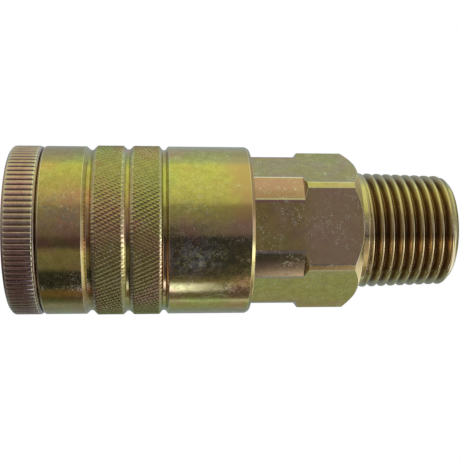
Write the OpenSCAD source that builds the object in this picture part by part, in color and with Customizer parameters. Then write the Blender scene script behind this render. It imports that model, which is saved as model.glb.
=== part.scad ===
// Quick disconnect coupler, half-inch size: a socket with a pull-back locking sleeve, eight
// locking balls and a shut-off valve, screwed into a hexagon adapter with a male pipe thread.
// The axis lies along X. Stations are distances from the nose face, growing towards the thread.
// The origin is on the axis at the hexagon's end face, where the thread begins.

/* [Nose socket] */
// Radius over the straight knurl of the front flange
flange_r = 15.22; // [14.9:0.02:15.6]
// Length of the front flange
flange_len = 5.5; // [5:0.1:5.6]
// Number of teeth in the straight knurl
flange_teeth = 94; // [60:1:120]
// Radius of the mouth that takes the plug's collar
mouth_r = 8.9; // [8.88:0.01:8.98]
// Radius of the bore at the locking balls
ball_bore_r = 8.7; // [8.6:0.01:8.72]
// Radius of the bore that takes the plug's tip
tip_bore_r = 7.05; // [6.95:0.01:7.2]
// Outer radius of the barrel that the sleeve slides on
barrel_r = 11.7; // [11.68:0.01:11.72]

/* [Locking balls] */
// Number of locking balls
ball_count = 8; // [8]
// Radius of each locking ball
ball_r = 2; // [1.95:0.01:2]
// Station of the ball row
ball_x = 16; // [15.9:0.05:16.1]
// Distance of each ball's centre from the axis when locked
ball_centre_r = 9.6; // [9.58:0.01:9.62]

/* [Sleeve] */
// Station of the sleeve's front face
sleeve_front = 5.7; // [5.65:0.05:5.9]
// Station of the sleeve's rear face
sleeve_rear = 42.2; // [41.8:0.1:42.6]
// Outer radius of the front band
sleeve_front_r = 15.2; // [15.1:0.02:15.3]
// Outer radius of the rear band
sleeve_rear_r = 15.28; // [15.2:0.02:15.4]
// Outer radius of the two diamond-knurled bands
band_r = 15.36; // [15.3:0.02:15.5]
// Depth of the three grooves below the bands
groove_depth = 0.65; // [0.4:0.05:0.7]
// Travel of the sleeve when it is pulled back
sleeve_travel = 7; // [5:0.5:7]

/* [Hexagon adapter] */
// Distance across the wrench flats
hex_flats = 25.4; // [25:0.1:25.6]
// Largest radius of the hexagon's rounded corners
hex_corner_r = 14.35; // [14:0.01:14.6]
// Radius of the corners where they are turned down for the sleeve
turned_r = 13.5; // [13:0.01:13.55]
// Station of the hexagon's end face, where the thread begins
shoulder_x = 61.4; // [61:0.1:62]
// Radius of the flow bore through the thread
flow_r = 6.6; // [6:0.1:6.9]

/* [Pipe thread] */
// Station of the thread's free end
thread_end = 79.4; // [78:0.1:80]
// Pitch of 14 threads to the inch
pitch = 1.8143; // [1.8143]
// Radius over the crests where they reach full height
thread_r = 10.6; // [10.5:0.01:10.7]
// Depth of the thread
thread_depth = 1.2; // [1:0.05:1.4]

/* [Springs and valve] */
// Wire radius of the sleeve spring
sleeve_wire_r = 0.7; // [0.5:0.05:0.7]
// Wire radius of the valve spring
valve_wire_r = 0.45; // [0.3:0.05:0.45]
// Travel of the valve when a plug pushes it open
valve_travel = 5; // [3:0.5:5]

/* [Hidden] */
$fn = 96;
inch_taper = 1 / 32;             // pipe thread: radius lost per millimetre of length
running = 0.1;                   // radial clearance of sliding fits
seated = 0.02;                   // clearance of pieces that rest on each other

// Stations and radii inside the nose socket
mouth_chamfer = 1.0;
mouth_end = 12.6;
ball_bore_end = 22.5;
tip_bore_start = 24.2;
seal_groove_start = 25.4;
seal_groove_end = 27.8;
seal_groove_r = 8.55;
valve_seat = 32;
chamber_r = 9.5;
guide_shoulder_r = 13.0;         // guides the sleeve's front bore
guide_shoulder_end = 8.4;
spigot_start = 36.6;             // the spigot screws into the adapter
spigot_end = 45;
spigot_r = 10.55;
knurl_depth = 0.34;
knurl_start = 0.5;
knurl_end = 5.2;
rim_r = flange_r - 0.14;         // plain rims on both sides of the straight knurl

// Stations and radii inside the sleeve
land_start = ball_x - 0.8;
land_end = 22;
land_r = barrel_r + running;
release_r = guide_shoulder_r + running;
ramp = release_r - land_r;       // a 45 degree ramp frees the balls
spring_bore_r = 13.7;

// Stations on the sleeve's outside: groove edges and centres
groove_1 = [13.1, 14.1, 15.1];
groove_2 = [19.75, 20.65, 21.55];
groove_3 = [26.15, 26.95, 27.7];
groove_flat = 0.25;              // half the width of a groove's flat bottom

// Stations and radii of the adapter
adapter_front = spigot_start + seated;
turned_end = 51;
full_hex_start = 51.55;
full_hex_end = 59.5;
end_face_r = 12.65;
socket_r = spigot_r + 0.05;
gasket_shoulder = 46.6;
guide_bore_r = 9.2;
guide_shoulder = 49;
first_crest = 64.8;              // station of the first full crest, on top of the thread
groove_start = 61.9;             // the groove runs out towards the shoulder: here it has no depth
run_out_slope = 0.48;
thread_rim_r = 9.2;
half_crest = 0.25;               // shares of half a pitch: where the crest's flat ends
half_root = 0.9;                 // and where the root's flat begins
thread_root_in_hex = 1;          // the thread's core reaches this far into the hexagon
thread_sides = 30;
rows_per_pitch = 6;

// Springs and their seats
washer_t = 0.8;
sleeve_spring_start = land_end + washer_t + 3 * seated;
sleeve_spring_end = adapter_front - seated;
sleeve_coil_r = (barrel_r + spring_bore_r) / 2;
sleeve_coils = 4.5;
head_front = 34;
head_rear = 36;
valve_spring_start = head_rear + seated;
guide_front = gasket_shoulder + seated;
guide_rear = guide_shoulder - 2 * seated;
valve_coil_r = 3.6;
valve_coils = 5.5;
dead_coils = 0.75;               // closed coils at each end of a spring

// Valve
push_tube_front = 26.9;
push_tube_r = 5.6;
push_bore_r = 4.0;
push_bore_end = 32.6;
vent_x = 29.4;
vent_r = 1.3;
head_r = 8.0;
boss_r = 3.0;
boss_end = 37.2;
stem_r = 1.75;
stem_end = 49.8;
valve_seal_r = 7.9;
retainer_r = 6.5;
retainer_front = 31.2;
hub_r = 4.6;
guide_ring_r = 9.1;
guide_window_r = 7.4;
guide_arms = 3;
guide_arm_w = 2.4;

plug_seal_wire = 0.9;
body_seal_wire = 0.78;

plated_gold = [0.73, 0.64, 0.36];
plated_rose = [0.66, 0.50, 0.42];
plated_bronze = [0.60, 0.52, 0.36];
brass = [0.78, 0.62, 0.28];
steel = [0.72, 0.73, 0.75];
rubber = [0.08, 0.08, 0.09];

// Puts a shape that is drawn in stations into the part's frame.
module place() {
    translate([-shoulder_x, 0, 0]) children();
}

// A solid turned about the axis. Each point of the profile is [radius, station].
module turned(profile) {
    place() rotate([0, 90, 0]) rotate_extrude() polygon(profile);
}

// A round bar along the axis between two stations.
module bar(from, to, r) {
    place() translate([from, 0, 0]) rotate([0, 90, 0]) cylinder(h = to - from, r = r);
}

// A ring of rectangular section between two stations.
module ring(from, to, inner_r, outer_r) {
    turned([[inner_r, from], [outer_r, from], [outer_r, to], [inner_r, to]]);
}

// An O-ring at a station, with the radius of its centre line and of its section.
module o_ring(station, centre_r, section_r) {
    place() rotate([0, 90, 0]) translate([0, 0, station])
        rotate_extrude() translate([centre_r, 0]) circle(r = section_r, $fn = 32);
}

// A disc with evenly spaced straight teeth around its edge.
module toothed_disc(from, to, crest_r, root_r, teeth) {
    outline = [for (i = [0:teeth - 1], side = [0, 1])
        let (a = 360 * (i + side / 2) / teeth, r = side == 0 ? crest_r : root_r)
        [r * cos(a), r * sin(a)]];
    place() translate([from, 0, 0]) rotate([0, 90, 0]) linear_extrude(height = to - from)
        polygon(outline);
}

// A solid skinned over rings of points, all with the same number of points.
module skinned(rings) {
    n = len(rings[0]);
    last = len(rings) - 1;
    sides = [for (i = [0:last - 1], j = [0:n - 1], half = [0, 1])
        let (a = i * n + j, b = i * n + (j + 1) % n, c = b + n, d = a + n)
        half == 0 ? [a, c, b] : [a, d, c]];
    front = [[for (j = [0:n - 1]) j]];
    back = [[for (j = [n - 1:-1:0]) last * n + j]];
    polyhedron(points = [for (r = rings, p = r) p], faces = concat(front, sides, back));
}

// Radius of the threaded stub at a station and an angle about the axis.
function thread_surface(x, angle) =
    let (turns = (x - first_crest) / pitch - (angle - 90) / 360,
         from_crest = 2 * abs(turns - round(turns)),
         height = min(1, max(0, (half_root - from_crest) / (half_root - half_crest))),
         crest = thread_r - (x - first_crest) * inch_taper,
         flank = crest - thread_depth * (1 - height),
         run_out = crest - max(0, x - groove_start) * run_out_slope,
         end_chamfer = thread_rim_r + thread_end - x)
    min(max(flank, run_out), end_chamfer);

// The male pipe thread with its core, reaching a little way into the hexagon.
module pipe_thread() {
    start = shoulder_x - thread_root_in_hex;
    rows = ceil((thread_end - start) / pitch * rows_per_pitch);
    place() skinned([for (i = [0:rows])
        let (x = start + (thread_end - start) * i / rows)
        [for (j = [0:thread_sides - 1])
            let (angle = 360 * j / thread_sides, r = thread_surface(x, angle))
            [x, r * cos(angle), r * sin(angle)]]]);
}

// Distance along a spring after some turns: close-wound at both ends, open in the middle.
function coil_rise(turn, turns, length, wire_r) =
    let (dead_rise = 2.04 * wire_r * dead_coils,
         open_rise = length - 2 * wire_r - 2 * dead_rise,
         open_turns = turns - 2 * dead_coils)
    turn < dead_coils ? wire_r + dead_rise * turn / dead_coils :
    turn > turns - dead_coils ? length - wire_r - dead_rise * (turns - turn) / dead_coils :
    wire_r + dead_rise + open_rise * (turn - dead_coils) / open_turns;

// A compression spring between two stations.
module coil_spring(from, to, coil_r, wire_r, turns) {
    sides = 8;
    steps = 20 * turns;
    place() skinned([for (i = [0:steps])
        let (turn = i * turns / steps, a = 360 * turn)
        [for (j = [0:sides - 1])
            let (b = -360 * j / sides, r = coil_r + wire_r * cos(b))
            [from + coil_rise(turn, turns, to - from, wire_r) + wire_r * sin(b),
             r * cos(a), r * sin(a)]]]);
}

// Front flange, guide shoulder, barrel and threaded spigot, without the bore.
module socket_outside() {
    turned([
        [0, 0], [rim_r - 0.55, 0], [rim_r, 0.4], [rim_r, knurl_start],
        [flange_r - knurl_depth - 0.1, knurl_start], [flange_r - knurl_depth - 0.1, knurl_end],
        [rim_r, knurl_end], [rim_r, flange_len - 0.25], [rim_r - 0.25, flange_len],
        [guide_shoulder_r, flange_len], [guide_shoulder_r, guide_shoulder_end - 0.3],
        [guide_shoulder_r - 0.3, guide_shoulder_end], [barrel_r, guide_shoulder_end],
        [barrel_r, spigot_start], [spigot_r, spigot_start], [spigot_r, spigot_end - 0.4],
        [spigot_r - 0.4, spigot_end], [0, spigot_end]
    ]);
    toothed_disc(knurl_start, knurl_end, flange_r, flange_r - knurl_depth, flange_teeth);
}

// The stepped hollow inside the nose socket, with the groove for the plug seal.
module socket_hollow() {
    turned([
        [0, -1], [mouth_r + mouth_chamfer + 1, -1], [mouth_r, mouth_chamfer],
        [mouth_r, mouth_end], [ball_bore_r, mouth_end], [ball_bore_r, ball_bore_end],
        [tip_bore_r, tip_bore_start], [tip_bore_r, seal_groove_start],
        [seal_groove_r, seal_groove_start], [seal_groove_r, seal_groove_end],
        [tip_bore_r, seal_groove_end], [tip_bore_r, valve_seat], [chamber_r, valve_seat],
        [chamber_r, spigot_end + 1], [0, spigot_end + 1]
    ]);
}

// A radial hole for one ball, tapered at its inner end so that the ball can't fall through.
module ball_pocket() {
    wide = ball_r + 0.06;
    taper = 0.235;
    taper_len = 1.6;
    place() translate([ball_x, 0, ball_centre_r]) {
        cylinder(h = barrel_r, r = wide);
        translate([0, 0, -taper_len]) cylinder(h = taper_len, r1 = wide - taper * taper_len, r2 = wide);
    }
}

module nose_socket() {
    color(plated_rose) difference() {
        socket_outside();
        socket_hollow();
        for (i = [0:ball_count - 1]) rotate([360 * i / ball_count, 0, 0]) ball_pocket();
    }
}

// The outline of one groove in the sleeve, from its front edge to its rear edge.
function groove(stations, front_r, rear_r) = [
    [front_r, stations[0]],
    [min(front_r, rear_r) - groove_depth, stations[1] - groove_flat],
    [min(front_r, rear_r) - groove_depth, stations[1] + groove_flat],
    [rear_r, stations[2]]
];

module sleeve() {
    color(plated_gold) turned(concat(
        [[release_r, sleeve_front], [sleeve_front_r - 0.3, sleeve_front],
         [sleeve_front_r, sleeve_front + 0.3]],
        groove(groove_1, sleeve_front_r, band_r),
        groove(groove_2, band_r, band_r),
        groove(groove_3, band_r, sleeve_rear_r),
        [[sleeve_rear_r, sleeve_rear - 1.0], [sleeve_rear_r - 0.25, sleeve_rear - 0.35],
         [sleeve_rear_r - 0.6, sleeve_rear], [spring_bore_r + 0.3, sleeve_rear],
         [spring_bore_r, sleeve_rear - 0.3], [spring_bore_r, land_end], [land_r, land_end],
         [land_r, land_start], [release_r, land_start - ramp]]
    ));
}

// Outside of the hexagon: a hexagonal bar with its corners turned.
module turned_hexagon() {
    intersection() {
        place() translate([adapter_front, 0, 0]) rotate([0, 90, 0])
            cylinder(h = shoulder_x - adapter_front, r = hex_flats / 2 / cos(30), $fn = 6);
        turned([
            [0, adapter_front - 1], [turned_r, adapter_front - 1], [turned_r, turned_end],
            [hex_corner_r, full_hex_start], [hex_corner_r, full_hex_end],
            [end_face_r, shoulder_x], [end_face_r, shoulder_x + 1], [0, shoulder_x + 1]
        ]);
    }
}

module hex_adapter() {
    color(plated_bronze) difference() {
        union() {
            turned_hexagon();
            pipe_thread();
        }
        turned([
            [0, adapter_front - 1], [socket_r, adapter_front - 1], [socket_r, gasket_shoulder],
            [guide_bore_r, gasket_shoulder], [guide_bore_r, guide_shoulder],
            [flow_r, guide_shoulder], [flow_r, thread_end - 0.6],
            [flow_r + 1.2, thread_end + 0.6], [0, thread_end + 0.6]
        ]);
    }
}

module lock_ball(index) {
    color(steel) rotate([360 * (index - 1) / ball_count, 0, 0])
        place() translate([ball_x, 0, ball_centre_r]) sphere(r = ball_r, $fn = 48);
}

module sleeve_spring() {
    color(steel)
        coil_spring(sleeve_spring_start, sleeve_spring_end, sleeve_coil_r, sleeve_wire_r, sleeve_coils);
}

module spring_washer() {
    color(steel) ring(land_end + seated, land_end + seated + washer_t,
        barrel_r + 2 * running, spring_bore_r - running);
}

module plug_seal() {
    color(rubber) o_ring((seal_groove_start + seal_groove_end) / 2,
        seal_groove_r - plug_seal_wire - seated, plug_seal_wire);
}

module body_seal() {
    color(rubber) o_ring((spigot_end + gasket_shoulder) / 2,
        socket_r - body_seal_wire - seated, body_seal_wire);
}

module valve_poppet() {
    color(brass) difference() {
        turned([
            [0, push_tube_front], [push_tube_r - 0.3, push_tube_front],
            [push_tube_r, push_tube_front + 0.3], [push_tube_r, head_front],
            [head_r - 0.3, head_front], [head_r, head_front + 0.3], [head_r, head_rear],
            [boss_r, head_rear], [boss_r, boss_end], [stem_r, boss_end + 0.4],
            [stem_r, stem_end - 0.4], [stem_r - 0.4, stem_end], [0, stem_end]
        ]);
        turned([
            [0, push_tube_front - 1], [push_bore_r, push_tube_front - 1],
            [push_bore_r, push_bore_end - 1.2], [0, push_bore_end]
        ]);
        for (a = [0, 90]) rotate([a, 0, 0]) place()
            translate([vent_x, 0, -head_r]) cylinder(h = 2 * head_r, r = vent_r);
    }
}

module valve_seal() {
    color(rubber) turned([
        [push_tube_r + seated, valve_seat + seated], [valve_seal_r - 0.2, valve_seat + seated],
        [valve_seal_r, valve_seat + 0.25], [valve_seal_r, head_front - seated],
        [push_tube_r + seated, head_front - seated]
    ]);
}

module seal_retainer() {
    color(steel) ring(retainer_front, valve_seat, push_tube_r + seated, retainer_r);
}

module valve_spring() {
    color(steel)
        coil_spring(valve_spring_start, guide_front - seated, valve_coil_r, valve_wire_r, valve_coils);
}

module valve_guide() {
    color(brass) difference() {
        union() {
            ring(guide_front, guide_rear, guide_window_r, guide_ring_r);
            bar(guide_front, guide_rear, hub_r);
            for (i = [0:guide_arms - 1]) rotate([360 * i / guide_arms, 0, 0]) place()
                translate([guide_front, -guide_arm_w / 2, 0])
                cube([guide_rear - guide_front, guide_arm_w, guide_window_r + 0.5]);
        }
        bar(guide_front - 1, guide_rear + 1, stem_r + running);
    }
}

nose_socket();
sleeve();
hex_adapter();
sleeve_spring();
spring_washer();
plug_seal();
body_seal();
valve_poppet();
valve_seal();
seal_retainer();
valve_spring();
valve_guide();
for (i = [1:ball_count])
    lock_ball(i);
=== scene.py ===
"""Detailed visual model of a quick disconnect coupler, with its materials, light and camera.

Lengths are in millimetres. A station is a distance from the nose face along the axis, and a radius
is a distance from the axis. An outline lists (station, radius, fillet) corners.
"""
import math

import bpy
import numpy as np
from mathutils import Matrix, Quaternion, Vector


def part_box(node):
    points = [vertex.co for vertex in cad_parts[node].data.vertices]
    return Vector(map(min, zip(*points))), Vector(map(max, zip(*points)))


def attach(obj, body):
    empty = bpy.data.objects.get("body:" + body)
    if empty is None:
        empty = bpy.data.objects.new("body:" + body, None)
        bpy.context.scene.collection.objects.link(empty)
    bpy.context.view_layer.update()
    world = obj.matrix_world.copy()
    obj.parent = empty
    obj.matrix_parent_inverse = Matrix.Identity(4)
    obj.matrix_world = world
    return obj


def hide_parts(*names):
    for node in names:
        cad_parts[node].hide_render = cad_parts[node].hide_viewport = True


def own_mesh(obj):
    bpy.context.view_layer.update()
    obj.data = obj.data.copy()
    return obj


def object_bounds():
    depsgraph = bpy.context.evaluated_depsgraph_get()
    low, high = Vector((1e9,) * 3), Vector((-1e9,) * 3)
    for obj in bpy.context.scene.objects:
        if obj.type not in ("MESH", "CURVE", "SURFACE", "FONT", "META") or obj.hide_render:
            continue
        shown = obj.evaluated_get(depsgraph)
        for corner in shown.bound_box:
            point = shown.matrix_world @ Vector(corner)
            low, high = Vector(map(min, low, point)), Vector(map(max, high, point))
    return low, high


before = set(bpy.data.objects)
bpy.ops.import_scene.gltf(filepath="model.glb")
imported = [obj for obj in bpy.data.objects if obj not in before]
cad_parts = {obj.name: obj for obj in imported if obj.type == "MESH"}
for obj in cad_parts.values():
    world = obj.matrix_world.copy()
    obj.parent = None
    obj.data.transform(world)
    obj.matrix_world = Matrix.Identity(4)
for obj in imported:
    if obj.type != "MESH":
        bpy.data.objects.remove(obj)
cad_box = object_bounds()

MM = 0.001
TURN = 2 * math.pi

nose_face = cad_box[0].x / MM
shoulder = -nose_face             # the frame's origin is at the hexagon's end face


def span(node):
    """Front station, rear station and outer radius of a CAD node."""
    low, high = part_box(node)
    return low.x / MM - nose_face, high.x / MM - nose_face, high.z / MM


sleeve_front, sleeve_rear, band_r = span("sleeve")
adapter_front, thread_end, hex_corner_r = span("hex_adapter")
_, spigot_end, flange_r = span("nose_socket")
flat_r = -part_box("hex_adapter")[0].y / MM


# ---------------------------------------------------------------- mesh building

def new_object(name, points, faces, smooth=True):
    """An object from points in millimetres."""
    mesh = bpy.data.meshes.new(name)
    mesh.from_pydata([[x * MM, y * MM, z * MM] for x, y, z in points], [], faces)
    mesh.polygons.foreach_set("use_smooth", np.full(len(mesh.polygons), smooth))
    mesh.update()
    mesh.validate()
    obj = bpy.data.objects.new(name, mesh)
    bpy.context.collection.objects.link(obj)
    return obj


def circle(count):
    """Evenly spaced angles, from +Y towards +Z."""
    return np.arange(count) * TURN / count


def rounded(corners, steps=4):
    """Points of an outline with its corners rounded.

    Each point is (station, radius, wear and highlight). This share is 1 in the middle of a convex edge,
    which is paled partly for wear and partly as a painted highlight. The solid lies on the right of the
    outline.
    """
    points = []
    for i, (x, r, fillet) in enumerate(corners):
        here = np.array([x, r], float)
        if fillet == 0 or i == 0 or i == len(corners) - 1:
            points.append((x, r, 0.0))
            continue
        before = np.array(corners[i - 1][:2], float) - here
        after = np.array(corners[i + 1][:2], float) - here
        room = min(np.linalg.norm(before), np.linalg.norm(after)) * 0.42
        before /= np.linalg.norm(before)
        after /= np.linalg.norm(after)
        half = math.acos(max(-1.0, min(1.0, before @ after))) / 2
        reach = min(room, fillet / math.tan(half))
        turn = before[1] * after[0] - before[0] * after[1]
        start, end = here + before * reach, here + after * reach
        guard = min(0.4 * reach, 0.1)
        points.append((*(start + before * guard), 0.0))
        for s in np.linspace(0, 1, steps + 1):
            p = (1 - s) ** 2 * start + 2 * s * (1 - s) * here + s * s * end
            points.append((*p, 4 * s * (1 - s) if turn < 0 else 0.0))
        points.append((*(end + after * guard), 0.0))
    return points


class Skin:
    """Rings of points around the axis, each joined to the one before it."""

    def __init__(self):
        self.rings = []
        self.points = []
        self.wear_and_highlight = []
        self.height = []
        self.faces = []
        self.size = 0

    def ring(self, angles, x, r, wear_and_highlight=0.0, height=1.0, join=True):
        """Adds a ring. Stations, radii, the wear-and-highlight share and height are numbers or one value
        for each angle.
        """
        n = len(angles)
        x, r, wear_and_highlight, height = (np.broadcast_to(v, n).astype(float) for v in (x, r, wear_and_highlight, height))
        self.points.append(np.column_stack([x + nose_face, r * np.cos(angles), r * np.sin(angles)]))
        self.wear_and_highlight.append(wear_and_highlight)
        self.height.append(height)
        self.rings.append((self.size, n))
        self.size += n
        if join and len(self.rings) > 1:
            self.join(self.rings[-2], self.rings[-1])

    def join(self, first, second):
        """Faces between two rings. One may have a whole number of times the other's points."""
        (a, n), (b, m) = first, second
        if n == m:
            j = np.arange(n)
            k = (j + 1) % n
            self.faces += np.column_stack([a + j, a + k, b + k, b + j]).tolist()
            return
        coarse, fine = (n, m) if n < m else (m, n)
        ratio = fine // coarse
        for j in range(coarse):
            k = (j + 1) % coarse
            many = [(j * ratio + i) % fine for i in range(ratio + 1)]
            if n < m:
                self.faces.append([a + j, a + k] + [b + i for i in reversed(many)])
            else:
                self.faces.append([a + i for i in many] + [b + k, b + j])

    def outline(self, angles, points):
        """Adds one round ring for each (station, radius, wear and highlight) point."""
        for x, r, wear_and_highlight in points:
            self.ring(angles, x, r, wear_and_highlight)

    def close(self):
        """Joins the last ring to the first."""
        self.join(self.rings[-1], self.rings[0])

    def make(self, name):
        """The mesh object, with equal points welded and the two attributes set."""
        points = np.concatenate(self.points)
        values = {"wear_and_highlight": np.concatenate(self.wear_and_highlight), "height": np.concatenate(self.height)}
        grid = np.round(points * 1e5).astype(np.int64)
        _, kept, place = np.unique(grid, axis=0, return_index=True, return_inverse=True)
        place = place.ravel()
        faces = []
        for face in self.faces:
            loop = list(dict.fromkeys(int(place[corner]) for corner in face))
            if len(loop) > 2:
                faces.append(loop)
        obj = new_object(name, points[kept].tolist(), faces)
        for label, value in values.items():
            attribute = obj.data.attributes.new(label, "FLOAT", "POINT")
            attribute.data.foreach_set("value", value[kept].astype(np.float32))
        return obj


# ---------------------------------------------------------------- sleeve

SLEEVE_COLUMNS = 342
KNURL_RATIO = 3                   # columns of the knurl for each column of the plain bands
KNURL_ROWS = 25
KNURL_DEPTH = 0.17
KNURL_LINES = (                   # way the lines lean, columns in a period, half width, depth
    (1, 9, 0.36, KNURL_DEPTH),
    (-1, 6, 0.42, 0.125),
)
GROOVES = ((13.1, 14.1, 15.1), (19.75, 20.65, 21.55), (26.15, 26.95, 27.7))
GROOVE_DEPTH = 0.65
GROOVE_FLAT = 0.25                # half the width of a groove's flat bottom
KNURLED_BANDS = ((GROOVES[0][2], GROOVES[1][0]), (GROOVES[1][2], GROOVES[2][0]))
SLEEVE_BORE_R = 13.1
SPRING_BORE_R = 13.7
LAND_START, LAND_END, LAND_R = 15.2, 22.0, 11.8


def knurl_depth(row, columns):
    """Depth of the diamond knurl at a row, as two crossing families of V-grooves."""
    column = np.arange(columns)
    depth = np.zeros(columns)
    for lean, period, width, deepest in KNURL_LINES:
        away = np.abs(((column + lean * row) / period + 0.5) % 1 - 0.5)
        depth = np.maximum(depth, deepest * np.maximum(0, 1 - away / width))
    return depth


def add_knurl(skin, angles, start, end):
    """Rings of one knurled band."""
    for row in range(KNURL_ROWS + 1):
        depth = knurl_depth(row, len(angles))
        x = start + (end - start) * row / KNURL_ROWS
        # The band's end rows are paled a little: partly wear, partly a painted highlight.
        edge = 1.0 if row in (0, KNURL_ROWS) else 0.0
        skin.ring(angles, x, band_r - depth - 0.03 * edge, 0.4 * edge, 1 - depth / KNURL_DEPTH)


def groove(stations, front_r, rear_r):
    """Corners of a V-groove with a narrow flat bottom."""
    front, middle, rear = stations
    bottom = min(front_r, rear_r) - GROOVE_DEPTH
    corners = (
        (front, front_r), (middle - GROOVE_FLAT, bottom), (middle + GROOVE_FLAT, bottom), (rear, rear_r),
    )
    return [(x, r, 0.12) for x, r in corners]


def groove_after_knurl(stations, rear_r):
    """Corners of a groove whose front edge is the end of a knurled band."""
    return [(stations[0] - 0.05, band_r, 0)] + groove(stations, band_r, rear_r)[1:]


def make_sleeve():
    """The pull-back sleeve: plain front band, two knurled bands, plain rear band."""
    front_r, rear_r = band_r - 0.16, band_r - 0.08
    coarse, fine = circle(SLEEVE_COLUMNS), circle(SLEEVE_COLUMNS * KNURL_RATIO)
    ramp_start = LAND_START - (SLEEVE_BORE_R - LAND_R)
    skin = Skin()
    front = [
        (ramp_start - 0.9, SLEEVE_BORE_R, 0), (sleeve_front + 0.2, SLEEVE_BORE_R, 0.1),
        (sleeve_front, SLEEVE_BORE_R + 0.2, 0.1), (sleeve_front, front_r - 0.3, 0.1),
        (sleeve_front + 0.3, front_r, 0.25),
    ] + groove(GROOVES[0], front_r, band_r)
    skin.outline(coarse, rounded(front)[:-1])
    add_knurl(skin, fine, *KNURLED_BANDS[0])
    skin.outline(coarse, rounded(groove_after_knurl(GROOVES[1], band_r))[1:-1])
    add_knurl(skin, fine, *KNURLED_BANDS[1])
    rear = groove_after_knurl(GROOVES[2], rear_r) + [
        (sleeve_rear - 0.6, rear_r, 0.2), (sleeve_rear - 0.1, rear_r - 0.28, 0.08),
        (sleeve_rear, rear_r - 0.42, 0.08), (sleeve_rear, SPRING_BORE_R + 0.3, 0.1),
        (sleeve_rear - 0.3, SPRING_BORE_R, 0.1), (LAND_END, SPRING_BORE_R, 0.1),
        (LAND_END, LAND_R, 0.1), (LAND_START, LAND_R, 0.15),
        (ramp_start, SLEEVE_BORE_R, 0.15), (ramp_start - 0.4, SLEEVE_BORE_R, 0),
    ]
    skin.outline(coarse, rounded(rear)[1:-1])
    skin.close()
    return skin.make("sleeve_shell")


# ---------------------------------------------------------------- nose socket

TEETH = 94
TOOTH_PLACES = (0.0, 0.06, 0.13, 0.30, 0.5, 0.70, 0.87, 0.94)
TOOTH_DEPTHS = (0.30, 0.14, 0.055, 0.012, 0.0, 0.012, 0.055, 0.14)
SOCKET_RATIO = 4                  # points of the toothed rings for each point of the plain ones
TEETH_FRONT, TEETH_REAR = 0.5, 5.15
FLANGE_REAR = 5.5
MOUTH_R, MOUTH_END = 8.9, 12.6
BALL_BORE_R, BALL_BORE_END = 8.7, 22.5
TIP_BORE_R, TIP_BORE_START = 7.05, 24.2
SEAL_GROOVE_FRONT, SEAL_GROOVE_REAR, SEAL_GROOVE_R = 25.4, 27.8, 8.55
VALVE_SEAT = 32.0
CHAMBER_R = 9.5
GUIDE_R, GUIDE_END = 13.0, 8.4
BARREL_R = 11.7
SPIGOT_START, SPIGOT_R = 36.6, 10.55
BALLS = 8
POCKET_SIDES = 32
POCKET = ((-2.6, 1.45), (-1.6, 1.684), (0.0, 2.06), (4.0, 2.06))   # way out from the ball, radius


def make_nose_socket():
    """The socket body: toothed flange, barrel with ball pockets, spigot and bores."""
    rim_r = flange_r - 0.14
    fine = np.array([
        (tooth + place) / TEETH * TURN for tooth in range(TEETH) for place in TOOTH_PLACES])
    coarse = fine[::SOCKET_RATIO]
    depths = np.tile(TOOTH_DEPTHS, TEETH)
    skin = Skin()
    mouth = [
        (2.0, MOUTH_R, 0), (1.0, MOUTH_R, 0.15), (0.0, MOUTH_R + 1, 0.2), (0.0, rim_r - 0.55, 0.25),
        (0.4, rim_r, 0.12), (TEETH_FRONT, rim_r, 0),
    ]
    skin.outline(coarse, rounded(mouth)[:-1])
    skin.ring(coarse, TEETH_FRONT - 0.02, rim_r, 0.3)
    # The rings at the teeth's ends are paled: partly wear, partly a painted highlight.
    for x, sunk, wear_and_highlight in (
        (TEETH_FRONT, 0.16, 0.2), (TEETH_FRONT + 0.1, 0.04, 1.0), (TEETH_FRONT + 0.25, 0.0, 0.2),
        (2.0, 0.0, 0.0), (3.4, 0.0, 0.0),
        (TEETH_REAR - 0.25, 0.0, 0.2), (TEETH_REAR - 0.1, 0.04, 1.0), (TEETH_REAR, 0.16, 0.2),
    ):
        skin.ring(fine, x, flange_r - np.maximum(depths, sunk), wear_and_highlight, 1 - depths / max(TOOTH_DEPTHS))
    barrel = [
        (TEETH_REAR + 0.02, rim_r, 0), (FLANGE_REAR - 0.2, rim_r, 0.1),
        (FLANGE_REAR, rim_r - 0.2, 0.1), (FLANGE_REAR, GUIDE_R, 0.1),
        (GUIDE_END - 0.3, GUIDE_R, 0.1), (GUIDE_END, GUIDE_R - 0.3, 0.1), (GUIDE_END, BARREL_R, 0.1),
        (SPIGOT_START, BARREL_R, 0.1), (SPIGOT_START, SPIGOT_R, 0.1),
        (spigot_end - 0.4, SPIGOT_R, 0.1), (spigot_end, SPIGOT_R - 0.4, 0.1),
        (spigot_end, CHAMBER_R, 0.1), (VALVE_SEAT, CHAMBER_R, 0.1), (VALVE_SEAT, TIP_BORE_R, 0.15),
        (SEAL_GROOVE_REAR, TIP_BORE_R, 0.1), (SEAL_GROOVE_REAR, SEAL_GROOVE_R, 0.1),
        (SEAL_GROOVE_FRONT, SEAL_GROOVE_R, 0.1), (SEAL_GROOVE_FRONT, TIP_BORE_R, 0.1),
        (TIP_BORE_START, TIP_BORE_R, 0.2), (BALL_BORE_END, BALL_BORE_R, 0.2),
        (MOUTH_END, BALL_BORE_R, 0.05), (MOUTH_END, MOUTH_R, 0.05), (3.0, MOUTH_R, 0),
    ]
    skin.outline(coarse, rounded(barrel))
    skin.close()
    socket = skin.make("socket_body")
    cut_ball_pockets(socket)
    return socket


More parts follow.
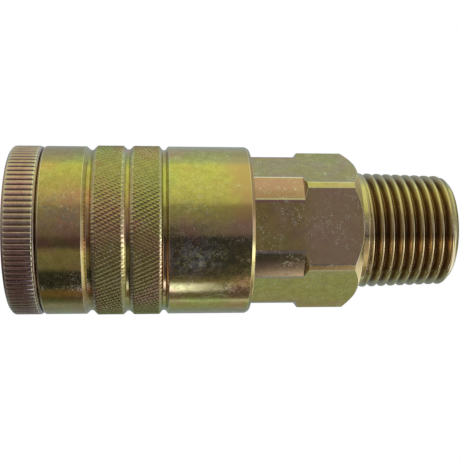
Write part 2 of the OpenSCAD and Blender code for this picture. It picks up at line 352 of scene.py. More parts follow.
def cut_ball_pockets(socket):
    """Cuts the tapered radial pockets that hold the locking balls."""
    ball_low, ball_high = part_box("lock_ball_1")
    ball_x = (ball_low.x + ball_high.x) / 2 / MM
    centre_r = (ball_low.z + ball_high.z) / 2 / MM
    points, faces = [], []
    for ball in range(BALLS):
        lean = ball * TURN / BALLS
        first = len(points)
        for out, r in POCKET:
            for a in circle(POCKET_SIDES):
                across, up = r * math.sin(a), centre_r + out
                points.append((
                    ball_x + r * math.cos(a),
                    across * math.cos(lean) - up * math.sin(lean),
                    across * math.sin(lean) + up * math.cos(lean),
                ))
        last = first + (len(POCKET) - 1) * POCKET_SIDES
        for ring in range(first, last, POCKET_SIDES):
            for side in range(POCKET_SIDES):
                a, b = ring + side, ring + (side + 1) % POCKET_SIDES
                faces.append([a, b, b + POCKET_SIDES, a + POCKET_SIDES])
        faces.append([first + side for side in reversed(range(POCKET_SIDES))])
        faces.append([last + side for side in range(POCKET_SIDES)])
    cutter = new_object("pocket_cutter", points, faces, smooth=False)
    cut = socket.modifiers.new("pockets", "BOOLEAN")
    cut.operation, cut.solver, cut.object = "DIFFERENCE", "EXACT", cutter
    bpy.context.view_layer.update()
    evaluated = socket.evaluated_get(bpy.context.evaluated_depsgraph_get())
    solid = bpy.data.meshes.new_from_object(evaluated)
    socket.modifiers.remove(cut)
    socket.data = solid
    bpy.data.objects.remove(cutter)


# ---------------------------------------------------------------- hexagon adapter and thread

FLAT_SHARES = (0.15, 0.3, 0.45, 0.6, 0.72, 0.82, 0.9, 0.955, 0.98, 1.0)
CORNER_SHARES = (0.12, 0.25, 0.45, 0.7, 1.0)
EDGE_BLEND = 0.04
LEAST_TURNED_R = 12.2             # rings within this radius keep the same angles
TURNED_R, TURNED_END = 13.5, 51.0
FULL_HEX_START, FULL_HEX_END = 51.55, 59.75
END_FACE_R = 12.65
SOCKET_R = 10.6                   # bore that takes the socket's spigot
GUIDE_BORE_R = 9.2                # bore that takes the valve guide
GUIDE_BORE_START, GUIDE_BORE_END = 46.6, 49.0
FLOW_R = 6.6
PITCH = 1.8143
FIRST_CREST = 64.8                # station of the first full crest, on top of the thread
FIRST_CREST_R = 10.6
TAPER = 1 / 32                    # radius lost per millimetre of length
RUN_OUT_START, RUN_OUT_SLOPE = 62.8, 1.1
THREAD_RIM_R = 9.2
END_FADE = 1.4                    # length over which the groove gets shallower at the free end
THREAD_COLUMNS = 360
THREAD_DEPTH = 1.2
THREAD_PLACES = (0.0, 0.1, 0.123, 0.15, 0.22, 0.31, 0.39, 0.43, 0.46, 0.5)
THREAD_HEIGHTS = (1.0, 0.99, 0.955, 0.88, 0.68, 0.42, 0.19, 0.08, 0.03, 0.0)


def softly_lower(a, b, blend):
    """The lower of two heights, rounded where they are equal, and how nearly equal they are."""
    near = np.maximum(blend - np.abs(a - b), 0) / blend
    return np.minimum(a, b) - near * near * blend / 4, near


def hexagon_ring(turned_r):
    """Angles, radii and pale edge share of the hexagon where its corners are turned to a radius; the
    edges between flats and turned corners get a painted highlight.
    """
    edge = max(math.acos(min(1.0, flat_r / turned_r)), math.radians(2.5))
    half = [0.0] + [edge * s for s in FLAT_SHARES]
    half += [edge + (TURN / 12 - edge) * s for s in CORNER_SHARES]
    sector = [-a for a in reversed(half[1:-1])] + half
    angles = np.array([TURN / 6 * side + a for side in range(6) for a in sector])
    from_flat = (angles + TURN / 12) % (TURN / 6) - TURN / 12
    radii, near = softly_lower(flat_r / np.cos(from_flat), np.full(len(angles), turned_r), EDGE_BLEND)
    return angles, radii, near


def crest_radius(x):
    """Radius of the tapered thread's crests at a station."""
    return FIRST_CREST_R - (x - FIRST_CREST) * TAPER


def thread_radius(x, height):
    """Radius of the threaded stub for a height between root and crest."""
    crest = crest_radius(x)
    fade = np.clip((thread_end - 0.3 - x) / END_FADE, 0.25, 1)
    flank = crest - THREAD_DEPTH * (1 - height) * fade
    run_out = crest - np.maximum(0, x - RUN_OUT_START) * RUN_OUT_SLOPE
    end_chamfer = THREAD_RIM_R + thread_end - x
    return softly_lower(np.maximum(flank, run_out), end_chamfer, 0.08)[0]


def add_thread(skin, start, end):
    """Adds rings that follow the helix, so that every crest edge is a smooth line."""
    angles = circle(THREAD_COLUMNS)
    places = list(THREAD_PLACES) + [1 - p for p in reversed(THREAD_PLACES[1:-1])]
    crest_shift = (angles - TURN / 4) / TURN
    first_turn = math.floor((start - FIRST_CREST) / PITCH) - 2
    last_turn = math.ceil((end - FIRST_CREST) / PITCH) + 2
    first_ring = len(skin.rings)
    for turn in range(first_turn, last_turn):
        for place in places:
            x = np.clip(FIRST_CREST + (turn + place + crest_shift) * PITCH, start, end)
            turns = (x - FIRST_CREST) / PITCH - crest_shift
            away = np.abs(turns - np.round(turns))
            radius = thread_radius(x, np.interp(away, THREAD_PLACES, THREAD_HEIGHTS))
            height = 1 - (crest_radius(x) - radius) / THREAD_DEPTH
            skin.ring(angles, x, radius, 0.0, height, join=False)
    last_column = THREAD_COLUMNS - 1
    j = np.arange(last_column)
    last_ring = len(skin.rings) - 1
    for ring in range(first_ring, last_ring):
        a, b = skin.rings[ring][0], skin.rings[ring + 1][0]
        skin.faces += np.column_stack([a + j, a + j + 1, b + j + 1, b + j]).tolist()
        # Once around, the helix has moved on by one pitch.
        c = skin.rings[min(ring + len(places), last_ring)][0]
        d = skin.rings[min(ring + len(places) + 1, last_ring)][0]
        skin.faces.append([a + last_column, c, d, b + last_column])
    return first_ring


def add_hexagon(skin):
    """Adds the hexagon with its turned-down corners, and returns the angles of a ring."""
    outline = rounded([
        (adapter_front, SOCKET_R, 0), (adapter_front, TURNED_R, 0.15), (TURNED_END, TURNED_R, 0.06),
        (FULL_HEX_START, hex_corner_r, 0.08), (FULL_HEX_END, hex_corner_r, 0.1),
        (shoulder, END_FACE_R, 0.12), (shoulder, 12.0, 0),
    ])
    dense = []
    for (x, r, wear_and_highlight), (next_x, next_r, _) in zip(outline[:-1], outline[1:]):
        dense.append((x, r, wear_and_highlight))
        steps = int(abs(next_r - r) / 0.16) if next_x > x else 0
        for s in range(1, steps):
            dense.append((x + (next_x - x) * s / steps, r + (next_r - r) * s / steps, 0.0))
    for x, r, wear_and_highlight in dense[1:]:
        angles, radii, near = hexagon_ring(max(r, LEAST_TURNED_R))
        radii = np.minimum(radii, r)
        # The edges between the flats and the turned corners are paled: a painted highlight.
        skin.ring(angles, x, radii, np.maximum(near, wear_and_highlight * (radii > r - 0.06)))
    return angles


def make_hex_adapter():
    """The adapter: hexagon, tapered thread and stepped bore."""
    skin = Skin()
    hexagon = circle(len(add_hexagon(skin)))
    skin.ring(hexagon, shoulder, 11.6)
    neck_r = crest_radius(shoulder)
    thread_start = shoulder + 0.45
    skin.outline(circle(THREAD_COLUMNS), rounded([
        (shoulder, 11.2, 0), (shoulder, neck_r, 0.16), (thread_start + 0.1, neck_r - 0.015, 0),
    ])[1:-1])
    neck_ring = len(skin.rings) - 1
    first_ring = add_thread(skin, thread_start, thread_end)
    skin.join(skin.rings[neck_ring], skin.rings[first_ring])
    skin.outline(circle(THREAD_COLUMNS // 2), rounded([
        (thread_end, 8.9, 0), (thread_end, FLOW_R + 0.6, 0.15), (thread_end - 0.6, FLOW_R, 0.15),
        (GUIDE_BORE_END, FLOW_R, 0.1), (GUIDE_BORE_END, GUIDE_BORE_R, 0.1),
        (GUIDE_BORE_START, GUIDE_BORE_R, 0.1), (GUIDE_BORE_START, SOCKET_R, 0.1),
        (adapter_front, SOCKET_R, 0),
    ]))
    skin.ring(hexagon, adapter_front, 10.9)
    skin.close()
    return skin.make("adapter_body")


# ---------------------------------------------------------------- springs

WIRE_SIDES = 14
STEPS_PER_TURN = 56
CLOSED_TURNS = 0.75               # closed coils at each end of a spring


def make_spring(name, from_x, to_x, coil_r, wire_r, turns):
    """A compression spring of round wire with closed ends."""
    steps = int(turns * STEPS_PER_TURN)
    length = to_x - from_x
    closed_rise = 2.04 * wire_r * CLOSED_TURNS
    turn = np.arange(steps + 1) * turns / steps
    rise = np.interp(
        turn, (0, CLOSED_TURNS, turns - CLOSED_TURNS, turns),
        (wire_r, wire_r + closed_rise, length - wire_r - closed_rise, length - wire_r),
    )
    points, faces = [], []
    for a, x in zip(turn * TURN, rise):
        for b in -circle(WIRE_SIDES):
            r = coil_r + wire_r * math.cos(b)
            points.append((
                from_x + x + wire_r * math.sin(b) + nose_face, r * math.cos(a), r * math.sin(a)))
    for step in range(steps):
        a, b = step * WIRE_SIDES, (step + 1) * WIRE_SIDES
        for j in range(WIRE_SIDES):
            k = (j + 1) % WIRE_SIDES
            faces.append([a + j, b + j, b + k, a + k])
    faces.append(list(range(WIRE_SIDES)))
    faces.append([steps * WIRE_SIDES + j for j in reversed(range(WIRE_SIDES))])
    return new_object(name, points, faces)


# ---------------------------------------------------------------- node trees

class Nodes:
    """Short calls for the nodes of one tree."""

    def __init__(self, tree):
        self.tree = tree
        tree.nodes.clear()

    def add(self, kind, inputs=None, out=0, **settings):
        """Adds a node and returns one of its outputs. Inputs are values or other outputs."""
        node = self.tree.nodes.new(kind)
        for key, value in settings.items():
            setattr(node, key, value)
        for key, value in (inputs or {}).items():
            socket = node.inputs[key]
            if isinstance(value, bpy.types.NodeSocket):
                self.tree.links.new(value, socket)
            elif value is not None:
                socket.default_value = (*value, 1.0) if socket.type == "RGBA" else value
        return node.outputs[out]

    def show(self, kind, surface):
        """Adds the tree's output node."""
        self.tree.links.new(surface, self.tree.nodes.new(kind).inputs[0])

    def parts(self, vector):
        """The three outputs X, Y and Z of a vector."""
        return tuple(self.add("ShaderNodeSeparateXYZ", {0: vector}).node.outputs)

    def math(self, operation, a, b=None):
        """The result of a sum, product or function of one or two values."""
        return self.add("ShaderNodeMath", {0: a, 1: b}, operation=operation)

    def times(self, first, *others):
        """The product of several values."""
        product = first
        for other in others:
            product = self.math("MULTIPLY", product, other)
        return product

    def step(self, value, low, high, to_low=0.0, to_high=1.0):
        """Goes smoothly from to_low to to_high as the value goes from low to high."""
        return self.add("ShaderNodeMapRange", {
            "Value": value, "From Min": low, "From Max": high, "To Min": to_low, "To Max": to_high},
            interpolation_type="SMOOTHSTEP")

    def between(self, value, low, high, soft):
        """1 between two limits and 0 outside them, with soft ends."""
        rise = self.step(value, low - soft, low + soft)
        fall = self.step(value, high + soft, high - soft)
        return self.times(rise, fall)

    def mix(self, share, a, b, blend="MIX"):
        """Colour a where the share is 0 and colour b where it is 1."""
        return self.add(
            "ShaderNodeMix", {0: share, 6: a, 7: b}, out=2, data_type="RGBA", blend_type=blend)


class Paint(Nodes):
    """The nodes of one material. It knows the station, angle and radius of each place.

    The angle is in radians around the axis: 0 is in front and rises towards the top.
    """

    def __init__(self, name):
        self.material = bpy.data.materials.new(name)
        self.material.use_nodes = True
        super().__init__(self.material.node_tree)
        place = self.add("ShaderNodeTexCoord", out="Object")
        self.place = self.add("ShaderNodeVectorMath", {0: place, "Scale": 1 / MM}, operation="SCALE")
        x, y, z = self.parts(self.place)
        self.station = self.math("SUBTRACT", x, nose_face)
        self.angle = self.math("ARCTAN2", z, self.times(y, -1))
        self.radius = self.math("SQRT", self.math("ADD", self.times(y, y), self.times(z, z)))

    def stretched(self, x, y, z, shift=0.0, place=None):
        """A place, stretched along each axis and moved along all of them."""
        place = place or self.place
        scaled = self.add("ShaderNodeVectorMath", {0: place, 1: (x, y, z)}, operation="MULTIPLY")
        return self.add("ShaderNodeVectorMath", {0: scaled, 1: (shift,) * 3}, operation="ADD")

    def noise(self, scale, detail=3.0, rough=0.55, distort=0.0, place=None, shift=0.0):
        """Noise of a scale per millimetre, at the given place or at the object's own, moved."""
        return self.add("ShaderNodeTexNoise", {
            "Vector": place or self.stretched(1, 1, 1, shift), "Scale": scale, "Detail": detail,
            "Roughness": rough, "Distortion": distort})

    def patch(self, stations, softness, angles, soft_angle):
        """1 in a range of stations and a range of angles, with soft ends."""
        along = self.between(self.station, *stations, softness)
        return self.times(along, self.between(self.angle, *angles, soft_angle))

    def attribute(self, name):
        """The mesh's wear-and-highlight share or height."""
        return self.add("ShaderNodeAttribute", out="Fac", attribute_name=name)

    def bump(self, height, strength, distance, normal=None):
        """A normal with fine relief added."""
        return self.add("ShaderNodeBump", {
            "Height": height, "Strength": strength, "Distance": distance * MM, "Normal": normal})

    def finish(self, colour, roughness, normal=None, metallic=1.0):
        """Makes the surface and returns the material."""
        surface = self.add("ShaderNodeBsdfPrincipled", {
            "Base Color": colour, "Roughness": roughness, "Metallic": metallic, "Normal": normal})
        self.show("ShaderNodeOutputMaterial", surface)
        return self.material


# ---------------------------------------------------------------- materials

SCRATCH_COLOUR = (0.80, 0.86, 0.86)
# Pale colour of convex edges: partly wear, partly a painted highlight.
WORN_EDGE_AND_HIGHLIGHT_COLOUR = (0.86, 0.89, 0.82)


def plating(name, gold, rose, green, shift, rough=0.12, hollow_shade=(0.16, 0.10, 0.05), hollow_shade_share=0.0,
            rose_share=0.5, scratches=0.5, speckle=0.3, tints=None, rougher=None, busier=None):
    """Yellow chromate plating: patches of gold, rose and green, mottled, speckled and worn, with painted
    shade darkening the hollows and pale convex edges that are partly wear and partly painted highlight.

    tints, rougher and busier are functions that paint what only one piece has: its tints, its
    rougher places and its places with more scratches.
    """
    paint = Paint(name)
    patches = paint.noise(0.11, 2, 0.5, 0.6, shift=shift)
    second = paint.noise(0.15, 2, 0.5, 0.4, shift=shift + 31)
    mottle = paint.noise(0.8, 4, 0.6, 0.3, shift=shift + 7)
    fine = paint.noise(4.5, 3, 0.6, shift=shift + 3)
    dust = paint.noise(16.0, 2, 0.5, shift=shift + 5)
    colour = paint.mix(paint.step(patches, 0.45 + 0.2 * (0.5 - rose_share), 0.65), gold, rose)
    colour = paint.mix(paint.times(paint.step(second, 0.5, 0.68), 0.6), colour, green)
    tone = paint.mix(paint.step(mottle, 0.3, 0.7), (0.84, 0.83, 0.82), (1.10, 1.10, 1.10))
    colour = paint.mix(0.8, colour, tone, "MULTIPLY")
    tone = paint.mix(paint.step(fine, 0.35, 0.68), (0.80, 0.79, 0.78), (1.12, 1.12, 1.12))
    colour = paint.mix(0.7, colour, tone, "MULTIPLY")
    if tints:
        colour = tints(paint, colour)
    scuffed = paint.step(paint.noise(0.25, 2, 0.5, 0.3, shift=shift + 19), 0.42, 0.6)
    if busier:
        scuffed = paint.math("MAXIMUM", scuffed, busier(paint))
    scratch = paint.times(scratch_lines(paint, shift), scuffed, scratches)
    colour = paint.mix(scratch, colour, SCRATCH_COLOUR)
    # Painted shade: the hollows of the thread and the teeth are darkened towards their roots.
    sunk = paint.step(paint.attribute("height"), 0.93, 0.3, 0.0, hollow_shade_share)
    colour = paint.mix(sunk, colour, hollow_shade)
    # Convex edges are paled: partly wear, partly a painted highlight.
    colour = paint.mix(paint.times(paint.attribute("wear_and_highlight"), 0.85), colour, WORN_EDGE_AND_HIGHLIGHT_COLOUR)
    uneven = paint.noise(1.1, 3, 0.6, shift=shift + 11)
    roughness = paint.step(uneven, 0.3, 0.7, rough - 0.03, rough + 0.05)
    roughness = paint.math("ADD", roughness, paint.times(scratch, 0.45))
    if rougher:
        roughness = paint.math("ADD", roughness, rougher(paint))
    normal = paint.bump(dust, 0.08, 0.006)
    normal = paint.bump(fine, speckle, 0.010, normal)
    normal = paint.bump(scratch, 0.3, 0.02, normal)
    return paint.finish(colour, roughness, normal)


def scratch_lines(paint, shift):
    """Short thin scratches in several directions."""
    lines = 0.0
    for turn, apart in ((0.5, 23), (-0.9, 43), (1.7, 61)):
        turned = paint.add("ShaderNodeVectorRotate", {
            "Vector": paint.place, "Axis": (0.2, 1, 0.2), "Angle": turn})
        place = paint.stretched(0.5, 1.3, 1.3, shift + apart, turned)
        field = paint.noise(1.1, 1, 0.5, 0.5, place=place)
        line = paint.step(paint.math("ABSOLUTE", paint.math("SUBTRACT", field, 0.5)), 0.019, 0.004)
        broken = paint.step(paint.noise(1.0, 2, 0.6, shift=shift + apart), 0.50, 0.58)
        lines = paint.math("MAXIMUM", lines, paint.times(line, broken))
    return lines


def knurled_places(paint):
    """1 on the sleeve's two knurled bands."""
    first, second = (paint.between(paint.station, *band, 0.05) for band in KNURLED_BANDS)
    return paint.math("ADD", first, second)


def sleeve_haze(paint):
    """How much of a dull haze lies on the rear band, low on the front."""
    place = paint.patch((28, 36), 3, (-0.55, -0.2), 0.12)
    return paint.times(place, paint.step(paint.noise(0.7, 4, 0.7, 0.8, shift=53), 0.42, 0.62))


def sleeve_scuffs(paint):
    """The plain bands are scratched most around the middle of the front."""
    rear = paint.patch((28, 35), 2, (-0.55, 0.55), 0.15)
    front = paint.patch((6, 13), 1, (0.0, 0.45), 0.1)
    return paint.math("MAXIMUM", rear, front)


def sleeve_roughness(paint):
    """The knurl is rougher than the plain bands, and so is the haze."""
    knurl = paint.times(knurled_places(paint), 0.14)
    return paint.math("ADD", knurl, paint.times(sleeve_haze(paint), 0.1))


def sleeve_tints(paint, colour):
    """Rose near the rear edge and on the front band, a dull stain, the haze, a darker knurl and painted
    highlights on its peaks.
    """
    wave = paint.times(paint.math("SUBTRACT", paint.noise(0.25, 3, 0.6), 0.5), 14)
    wavy_station = paint.math("ADD", paint.station, wave)
    rear = paint.times(
        paint.step(wavy_station, 34.5, 41), paint.between(paint.angle, -0.15, 1.0, 0.25))
    front = paint.times(
        paint.between(wavy_station, 8.5, 13.4, 1.5), paint.between(paint.angle, 0.02, 0.5, 0.2), 0.35)
    colour = paint.mix(paint.math("MAXIMUM", rear, front), colour, (0.50, 0.335, 0.22))
    smear = paint.noise(0.9, 5, 0.7, 1.2, place=paint.stretched(0.7, 1.2, 1.2, 9.0))
    plain = paint.math(
        "MAXIMUM", paint.between(paint.station, 6.5, 12.8, 0.8),
        paint.between(paint.station, 28.5, 36, 2.0))
    middle = paint.between(paint.angle, -0.02, 0.30, 0.12)
    stain = paint.times(middle, paint.step(smear, 0.50, 0.60), plain, 0.65)
    colour = paint.mix(stain, colour, (0.34, 0.36, 0.30))
    colour = paint.mix(paint.times(sleeve_haze(paint), 0.6), colour, (0.65, 0.73, 0.90))
    knurled = paint.times(knurled_places(paint), 0.7)
    colour = paint.mix(knurled, colour, (0.66, 0.66, 0.84), "MULTIPLY")
    # Painted highlight: the knurl's peaks are paled.
    painted_peak_highlight = paint.step(paint.attribute("height"), 0.86, 1.0)
    return paint.mix(paint.times(painted_peak_highlight, knurled, 0.55), colour, (0.66, 0.62, 0.46))


def nose_lower_shade(paint, colour):
    """Painted shade: the nose is a little darker low on its front."""
    low = paint.between(paint.angle, -1.3, -0.25, 0.15)
    return paint.mix(low, colour, (0.76, 0.76, 0.70), "MULTIPLY")


def adapter_scuffs(paint):
    """The front flat is scratched most above its middle."""
    return paint.patch((47, 60), 2, (-0.05, 0.3), 0.15)


def adapter_tints(paint, colour):
    """Rose turned corners, a front flat from olive to brown, a tan thread and its pale end."""
    turned = paint.times(
        paint.step(paint.radius, TURNED_R - 0.25, TURNED_R - 0.08),
        paint.step(paint.station, TURNED_END + 0.2, TURNED_END))
    corner = paint.mix(paint.step(paint.angle, -0.1, 0.1), (0.42, 0.33, 0.26), (0.47, 0.265, 0.30))
    colour = paint.mix(turned, colour, corner)
    front = paint.between(paint.angle, -0.48, 0.48, 0.05)
    olive = paint.times(front, paint.step(paint.station, 53, 50), 0.7)
    colour = paint.mix(olive, colour, (0.76, 0.82, 0.62), "MULTIPLY")
    brown = paint.times(paint.patch((51, 61), 3, (-0.6, 0.6), 0.1), 0.6)
    colour = paint.mix(brown, colour, (0.52, 0.40, 0.31))
    threaded = paint.times(paint.step(paint.station, shoulder - 0.4, shoulder - 0.2), 0.8)
    colour = paint.mix(threaded, colour, (0.60, 0.50, 0.34))
    pale_end = paint.step(paint.station, thread_end - 1.3, thread_end - 0.5)
    return paint.mix(pale_end, colour, (0.68, 0.67, 0.58))


def bare_metal(name, colour, rough):
    """Unplated metal or clear zinc, with faint darker marks."""
    paint = Paint(name)
    marks = paint.noise(2.0, 4, 0.6)
    fine = paint.noise(14.0, 2, 0.5)
    tone = paint.mix(paint.step(marks, 0.35, 0.7), colour, tuple(c * 0.8 for c in colour))
    roughness = paint.step(fine, 0.3, 0.7, rough - 0.04, rough + 0.07)
    return paint.finish(tone, roughness, paint.bump(fine, 0.15, 0.01))


def rubber(name):
    """Black nitrile rubber with a fine grain."""
    paint = Paint(name)
    grain = paint.noise(9.0, 3, 0.6)
    tone = paint.mix(paint.step(grain, 0.35, 0.7), (0.012, 0.012, 0.013), (0.03, 0.03, 0.032))
    roughness = paint.step(grain, 0.3, 0.7, 0.42, 0.6)
    return paint.finish(tone, roughness, paint.bump(grain, 0.3, 0.03), metallic=0.0)


materials = {
    "plated_gold": plating(
        "yellow_chromate_sleeve", (0.52, 0.46, 0.20), (0.60, 0.40, 0.25), (0.46, 0.48, 0.20), 3.0,
        scratches=0.42, speckle=0.45, tints=sleeve_tints, rougher=sleeve_roughness,
        busier=sleeve_scuffs),
    "plated_rose": plating(
        "rose_chromate_nose", (0.54, 0.40, 0.38), (0.55, 0.36, 0.42), (0.48, 0.42, 0.38), 17.0,
        rough=0.22, hollow_shade=(0.13, 0.06, 0.05), hollow_shade_share=0.6, rose_share=0.9, scratches=0.2,
        tints=nose_lower_shade),
    "plated_bronze": plating(
        "bronze_chromate_adapter", (0.52, 0.43, 0.18), (0.54, 0.40, 0.27), (0.48, 0.45, 0.19), 41.0,
        rough=0.14, hollow_shade=(0.22, 0.135, 0.07), hollow_shade_share=0.9, scratches=0.6, tints=adapter_tints,
        busier=adapter_scuffs),
    "spring_steel": bare_metal("spring_wire_steel", (0.42, 0.42, 0.43), 0.28),
    "zinc_steel": bare_metal("zinc_plated_steel", (0.62, 0.63, 0.66), 0.3),
    "ball_steel": bare_metal("polished_ball_steel", (0.70, 0.71, 0.73), 0.1),
    "brass": bare_metal("turned_brass", (0.70, 0.52, 0.22), 0.24),
    "nitrile": rubber("nitrile_rubber"),
}


def dress(obj, slot):
    """Gives an object the material of a slot."""
    obj.data.materials.clear()
    obj.data.materials.append(materials[slot])


def place_piece(obj, body, slot, node):
    """Puts a detailed piece in the place of its CAD node."""
    dress(obj, slot)
    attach(obj, body)
    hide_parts(node)


# ---------------------------------------------------------------- camera

CAMERA_BELOW = 3                  # degrees that the camera lies below the object's level
CAMERA_TURNED = 5.25              # degrees that it looks towards the thread
CAMERA_STATION = 24.95
CAMERA_DISTANCE = 154.7


def make_camera():
    """A camera in front of the sleeve, a little below the object's level."""
    data = bpy.data.cameras.new("camera")
    data.lens, data.sensor_width = 65.68, 36.0
    data.clip_start = 0.005
    camera = bpy.data.objects.new("camera", data)
    bpy.context.collection.objects.link(camera)
    below, distance = math.radians(CAMERA_BELOW), CAMERA_DISTANCE * MM
    camera.location = (
        (nose_face + CAMERA_STATION) * MM, -distance * math.cos(below), -distance * math.sin(below))
    level = Quaternion((1, 0, 0), math.radians(90))
    turned = Quaternion((0, 0, 1), -math.radians(CAMERA_TURNED))
    camera.rotation_mode = "QUATERNION"
    camera.rotation_quaternion = Quaternion((1, 0, 0), below) @ turned @ level
    bpy.context.scene.camera = camera
    bpy.context.scene.view_settings.view_transform = "Standard"


# ---------------------------------------------------------------- light and floor

# Soft boxes and dark gaps as (degrees, colour) around the object's axis. 0 is in front, 90 above,
# -90 below and 180 behind.
BELOW = (
    (-180, (0.32, 0.36, 0.40)), (-140, (0.32, 0.38, 0.38)), (-123, (0.40, 0.42, 0.22)),
    (-116, (0.42, 0.48, 0.34)), (-111, (0.74, 0.98, 0.70)), (-106, (0.20, 0.20, 0.14)),
)
STRIP = (
    (-93, (0.22, 0.19, 0.13)), (-89, (2.2, 2.3, 2.9)), (-79, (2.3, 2.5, 3.2)),
    (-75, (0.36, 0.30, 0.20)), (-66, (0.12, 0.10, 0.10)), (-50, (0.05, 0.05, 0.07)),
)
NO_STRIP = (
    (-92, (0.11, 0.10, 0.08)), (-84, (0.17, 0.15, 0.10)), (-78, (0.26, 0.23, 0.15)),
    (-70, (0.14, 0.13, 0.10)), (-60, (0.06, 0.06, 0.07)),
)
LOW_GLOW = (
    (-98, (0.24, 0.20, 0.13)), (-86, (0.34, 0.29, 0.20)), (-78, (1.20, 1.08, 0.80)),
    (-71, (1.10, 0.98, 0.72)), (-61, (0.40, 0.34, 0.25)), (-48, (0.16, 0.14, 0.11)),
)
THREAD_GLOW = (
    (-98, (0.28, 0.24, 0.14)), (-82, (0.34, 0.29, 0.17)), (-67, (0.84, 0.72, 0.46)),
    (-54, (0.88, 0.76, 0.50)), (-41, (0.58, 0.49, 0.34)), (-22, (0.42, 0.36, 0.26)),
)
EARLY_DARK = ((-6, (0.05, 0.05, 0.07)), (3, (0.07, 0.06, 0.07)), (9, (0.30, 0.26, 0.22)))
LATE_DARK = ((-10, (0.05, 0.05, 0.07)), (-5, (0.26, 0.22, 0.24)), (8, (0.29, 0.24, 0.25)))
ABOVE = (
    (18, (0.35, 0.32, 0.22)), (32, (0.42, 0.41, 0.22)), (38, (0.76, 0.78, 0.37)),
    (58, (0.92, 0.98, 0.44)), (75, (0.98, 1.07, 0.46)), (98, (1.00, 1.12, 0.49)),
    (106, (0.70, 0.88, 0.62)), (126, (0.54, 0.62, 0.50)), (150, (0.46, 0.52, 0.56)),
    (180, (0.32, 0.36, 0.40)),
)
LEFT = (
    (-180, (0.30, 0.36, 0.36)), (-120, (0.28, 0.34, 0.28)), (-112, (0.14, 0.15, 0.10)),
    (-103, (0.10, 0.09, 0.06)), (-99, (0.20, 0.13, 0.06)), (-90, (0.20, 0.13, 0.06)),
    (-84, (0.04, 0.04, 0.04)), (-58, (0.04, 0.04, 0.04)), (-52, (0.24, 0.21, 0.14)),
    (-28, (0.28, 0.25, 0.16)), (-22, (0.10, 0.08, 0.08)), (-12, (0.12, 0.09, 0.09)),
    (-6, (0.22, 0.18, 0.17)), (8, (0.28, 0.24, 0.22)), (30, (0.36, 0.33, 0.25)),
    (37, (0.60, 0.50, 0.34)), (46, (0.72, 0.58, 0.40)), (60, (0.80, 0.72, 0.38)),
    (84, (0.90, 0.94, 0.42)), (98, (0.94, 1.04, 0.42)), (108, (0.60, 0.74, 0.46)),
    (130, (0.46, 0.50, 0.50)), (180, (0.30, 0.36, 0.36)),
)
# From left to right: the limits of the direction's X between which a set takes over from the last.
ALONG_AXIS = (
    (-0.055, -0.01, BELOW + STRIP + EARLY_DARK + ABOVE),
    (0.024, 0.048, BELOW + STRIP + LATE_DARK + ABOVE),
    (0.044, 0.068, BELOW + NO_STRIP + LATE_DARK + ABOVE),
    (0.128, 0.136, BELOW + LOW_GLOW + LATE_DARK + ABOVE),
    (0.232, 0.242, BELOW + THREAD_GLOW + LATE_DARK + ABOVE),
)


def ramp_place(angle):
    """Place on a ramp from -180 to 180 degrees. All but its ends are lowered with the camera."""
    lowered = angle if abs(angle) == 180 else angle - CAMERA_BELOW
    return (lowered + 180) / 360


def round_ramp(sky, turn, stops):
    """The colour of one set of soft boxes, for a share of the turn around the axis."""
    colour = sky.add("ShaderNodeValToRGB", {0: turn})
    elements = colour.node.color_ramp.elements
    while len(elements) > 1:
        elements.remove(elements[-1])
    elements[0].position = ramp_place(stops[0][0])
    elements[0].color = (*stops[0][1], 1)
    for angle, stop_colour in stops[1:]:
        elements.new(ramp_place(angle)).color = (*stop_colour, 1)
    return colour


def right_side(sky, x, y, z):
    """A tall white soft box on the camera's side, and behind it a low pale one."""
    lift = sky.math("DIVIDE", z, x)
    behind = sky.mix(sky.step(lift, -0.20, -0.36), (0.42, 0.43, 0.22), (1.25, 1.20, 1.02))
    behind = sky.mix(sky.step(lift, 0.25, 0.6), behind, (0.62, 0.62, 0.40))
    beside = sky.mix(sky.step(lift, 0.30, 0.10), (0.55, 0.55, 0.36), (0.95, 0.95, 0.88))
    beside = sky.mix(sky.step(lift, -0.20, -0.45), beside, (3.6, 3.6, 3.5))
    near = sky.mix(sky.step(lift, -0.40, -0.62), (0.45, 0.42, 0.34), (2.0, 1.75, 1.3))
    beside = sky.mix(sky.step(x, 0.80, 0.86), near, beside)
    colour = sky.mix(sky.step(y, -0.30, -0.15), beside, behind)
    return sky.mix(sky.step(lift, -0.75, -0.98), colour, (0.40, 0.38, 0.24))


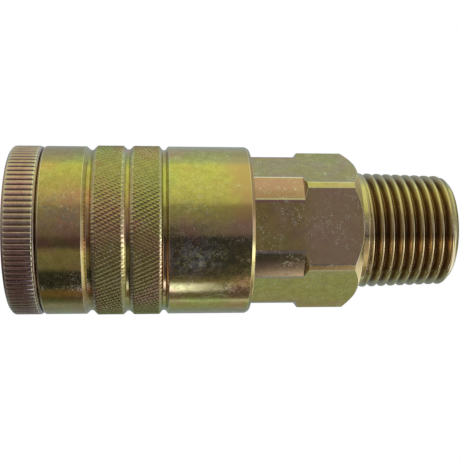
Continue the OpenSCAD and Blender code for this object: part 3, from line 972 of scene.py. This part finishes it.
def make_studio():
    """A white room with soft boxes around the object, seen only in its reflections."""
    world = bpy.data.worlds.new("studio")
    bpy.context.scene.world = world
    world.use_nodes = True
    sky = Nodes(world.node_tree)
    x, y, z = sky.parts(sky.add("ShaderNodeTexCoord", out="Generated"))
    turn = sky.add("ShaderNodeMapRange", {
        "Value": sky.math("ARCTAN2", z, sky.times(y, -1)), "From Min": -math.pi, "From Max": math.pi})
    room = round_ramp(sky, turn, LEFT)
    for low, high, stops in ALONG_AXIS:
        room = sky.mix(sky.step(x, low, high), room, round_ramp(sky, turn, stops))
    room = sky.mix(sky.step(x, 0.52, 0.60), room, right_side(sky, x, y, z))
    left_side = sky.mix(sky.step(z, -0.3, 0.5), (0.10, 0.085, 0.08), (0.55, 0.50, 0.34))
    room = sky.mix(sky.step(x, -0.45, -0.65), room, left_side)
    for ray, colour in (("Is Diffuse Ray", (0.85, 0.85, 0.85)), ("Is Camera Ray", (1, 1, 1))):
        room = sky.mix(sky.add("ShaderNodeLightPath", out=ray), room, colour)
    sky.show("ShaderNodeOutputWorld", sky.add("ShaderNodeBackground", {0: room}))


def make_floor():
    """A pale round floor, so far down that views from below the object stay above it."""
    radius, drop = 600, 350
    centre = nose_face + thread_end / 2
    edge = circle(128)
    floor = new_object(
        "floor", [(centre + radius * math.cos(a), radius * math.sin(a), -drop) for a in edge],
        [list(range(len(edge)))], smooth=False)
    paint = Paint("pale_floor")
    tone = paint.mix(paint.noise(0.02, 2), (0.86, 0.86, 0.85), (0.9, 0.9, 0.89))
    floor.data.materials.append(paint.finish(tone, 0.7, metallic=0.0))
    floor.visible_glossy = False


def make_soft_box():
    """A weak soft light high above the nose, in addition to the room's light."""
    light = bpy.data.lights.new("soft_box", "AREA")
    light.energy, light.size = 3.0, 0.5
    lamp = bpy.data.objects.new("soft_box", light)
    bpy.context.collection.objects.link(lamp)
    lamp.location = (cad_box[0].x, -0.1, 0.6)
    lamp.visible_glossy = False
    lamp.visible_camera = False


# ---------------------------------------------------------------- the whole

make_camera()
make_studio()
make_floor()
make_soft_box()

place_piece(make_sleeve(), "sleeve", "plated_gold", "sleeve")
place_piece(make_nose_socket(), "body", "plated_rose", "nose_socket")
place_piece(make_hex_adapter(), "body", "plated_bronze", "hex_adapter")

for name, node, joint, wire_r, turns, travel in (
    ("sleeve_coil", "sleeve_spring", "sleeve_slide", 0.7, 4.5, 7),
    ("valve_coil", "valve_spring", "valve_slide", 0.45, 5.5, 5),
):
    front, rear, outer_r = span(node)
    coil = make_spring(name, front, rear, outer_r - wire_r, wire_r, turns)
    place_piece(coil, "body", "spring_steel", node)
    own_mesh(coil)

for slot, nodes in {
    "zinc_steel": ("spring_washer", "seal_retainer"),
    "nitrile": ("plug_seal", "body_seal", "valve_seal"),
    "brass": ("valve_poppet", "valve_guide"),
    "ball_steel": [f"lock_ball_{ball + 1}" for ball in range(BALLS)],
}.items():
    for node in nodes:
        dress(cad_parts[node], slot)
